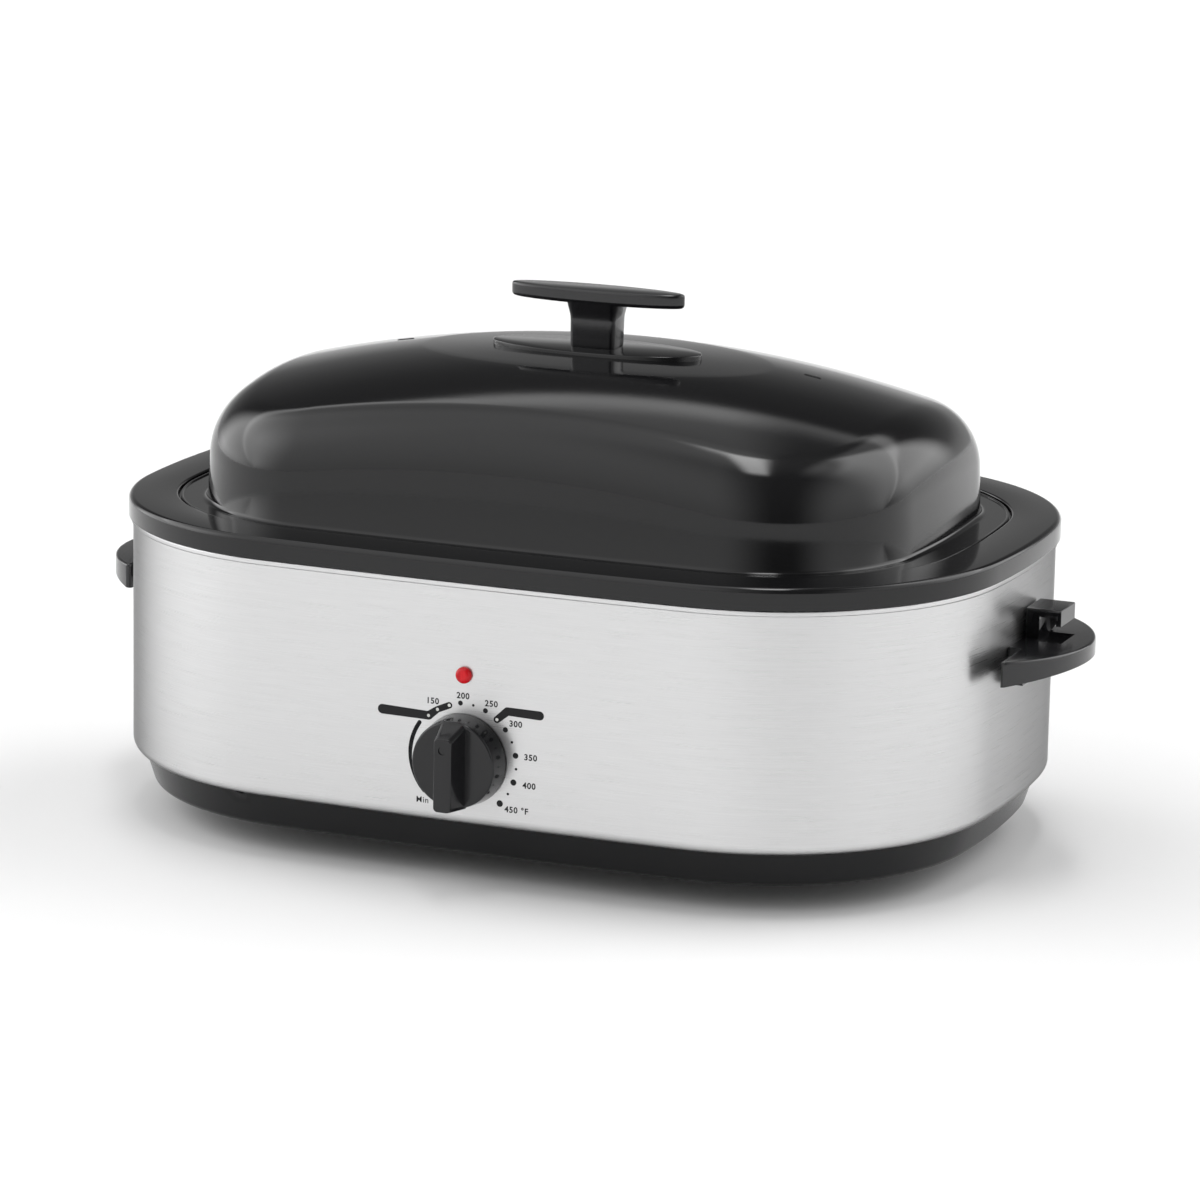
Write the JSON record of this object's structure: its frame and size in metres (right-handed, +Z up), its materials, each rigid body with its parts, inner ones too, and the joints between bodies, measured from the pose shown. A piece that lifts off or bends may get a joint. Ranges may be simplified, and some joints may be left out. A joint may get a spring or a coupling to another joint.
{
  "type": "electric roaster oven",
  "caption": "Oval countertop roaster with brushed wall, domed lift-off lid, removable pan and rack, thermostat knob, pilot light and side handles.",
  "frame": {"origin": "on the worktop under the middle of the whole footprint, knob and inlet included", "axes": "+X to the right along the long side as the user faces the knob, +Y from the knob to the cord inlet, +Z up"},
  "size_m": [0.592, 0.398, 0.305],
  "materials": {
    "brushed_steel_band": "horizontally brushed stainless",
    "black_enamel": "gloss vitreous enamel",
    "black_paint": "semi-gloss heat-proof paint",
    "handle_plastic": "fine satin moulded phenolic",
    "knob_plastic": "semi-gloss moulded phenolic",
    "lens_plastic": "clear red",
    "foot_rubber": "matte",
    "zinc_steel": "zinc plated",
    "aluminised_steel": "matte aluminised sheet",
    "element_braid": "glass-fibre braid",
    "insulation_fibre": "glass-fibre blanket",
    "rack_chrome": "bright plated wire",
    "control_plastic": "moulded, natural colour",
    "brass": "machined",
    "lamp_plastic": "moulded, white",
    "gland_plastic": "moulded nylon"
  },
  "bodies": {
    "base": {"outer_band": "brushed_steel_band", "base_pan": "black_paint", "right_handle": "handle_plastic", "left_handle": "handle_plastic", "lid_rest": "handle_plastic", "pilot_lens": "lens_plastic", "feet": "foot_rubber", "foot_screws": "zinc_steel", "liner_standoffs": "zinc_steel", "liner": "aluminised_steel", "heating_element": "element_braid", "insulation": "insulation_fibre", "thermostat": "control_plastic", "thermostat_nut": "brass", "control_bracket": "aluminised_steel", "bracket_screws": "zinc_steel", "pilot_lamp": "lamp_plastic", "thermal_fuse": "zinc_steel", "terminal_block": "lamp_plastic", "cord_gland": "gland_plastic", "gland_nut": "gland_plastic", "handle_screws": "zinc_steel"},
    "knob": {"control_knob": "knob_plastic", "thermostat_shaft": "brass", "knob_clip": "zinc_steel"},
    "pan": {"roasting_pan": "black_enamel"},
    "rack": {"roasting_rack": "rack_chrome", "rack_loops": "rack_chrome"},
    "lid": {"lid_shell": "black_enamel", "lid_handle": "handle_plastic", "lid_handle_screw": "zinc_steel", "lid_handle_washer": "zinc_steel"}
  },
  "joints": [
    {"name": "knob_turn", "type": "hinge", "parent": "base", "child": "knob", "pos_m": [0, -0.1705, 0.0725], "axis": [0, 1, 0], "range_deg": [-134, 135]},
    {"name": "pan_lift", "type": "slide", "parent": "base", "child": "pan", "axis": [0, 0, 1], "range_m": [0, 0.16]},
    {"name": "rack_lift", "type": "slide", "parent": "pan", "child": "rack", "axis": [0, 0, 1], "range_m": [0, 0.145]},
    {"name": "lid_lift", "type": "slide", "parent": "pan", "child": "lid", "axis": [0, 0, 1], "range_m": [0, 0.25]}
  ]
}
